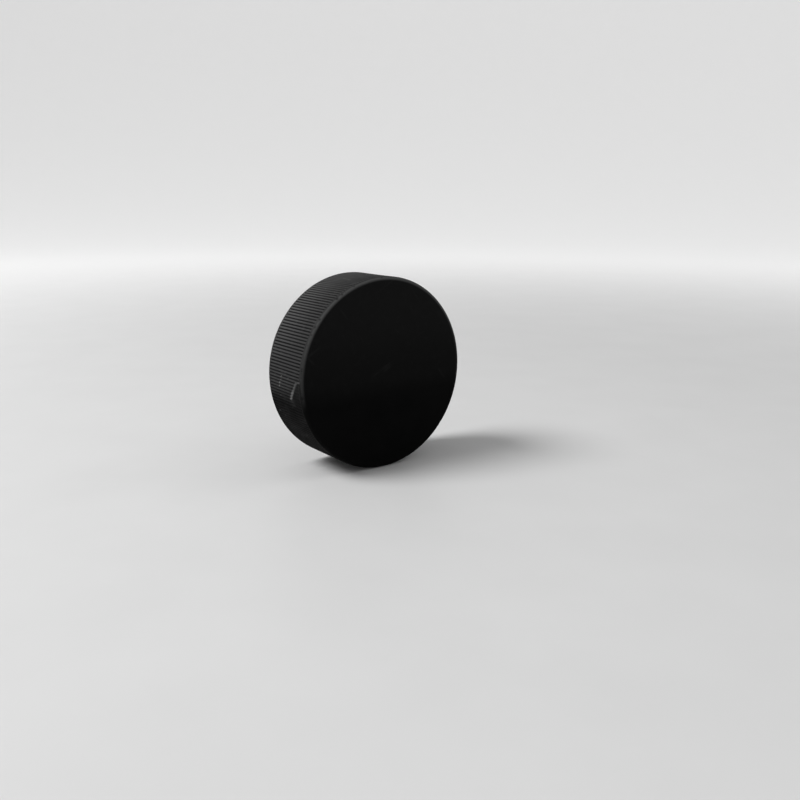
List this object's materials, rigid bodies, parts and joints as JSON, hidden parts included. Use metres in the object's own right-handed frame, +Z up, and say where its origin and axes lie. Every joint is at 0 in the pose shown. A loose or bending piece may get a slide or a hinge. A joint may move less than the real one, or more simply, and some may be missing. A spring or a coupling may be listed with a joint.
{
  "type": "ice hockey puck",
  "caption": "Solid black rubber disc for ice hockey, with flat faces, rounded edges and a finely ribbed rim, standing on its rim.",
  "frame": {"origin": "the point where the rim touches the surface that the puck stands on, in the middle of the rim's width", "axes": "+Z up through the centre of the disc, +Y along the disc's axis towards the back face, so the front face looks along -Y"},
  "size_m": [0.0762, 0.0254, 0.0762],
  "materials": {
    "puck_rubber": "vulcanised black rubber, satin, with light scuffs"
  },
  "bodies": {
    "root": {"puck_body": "puck_rubber"}
  },
  "joints": []
}
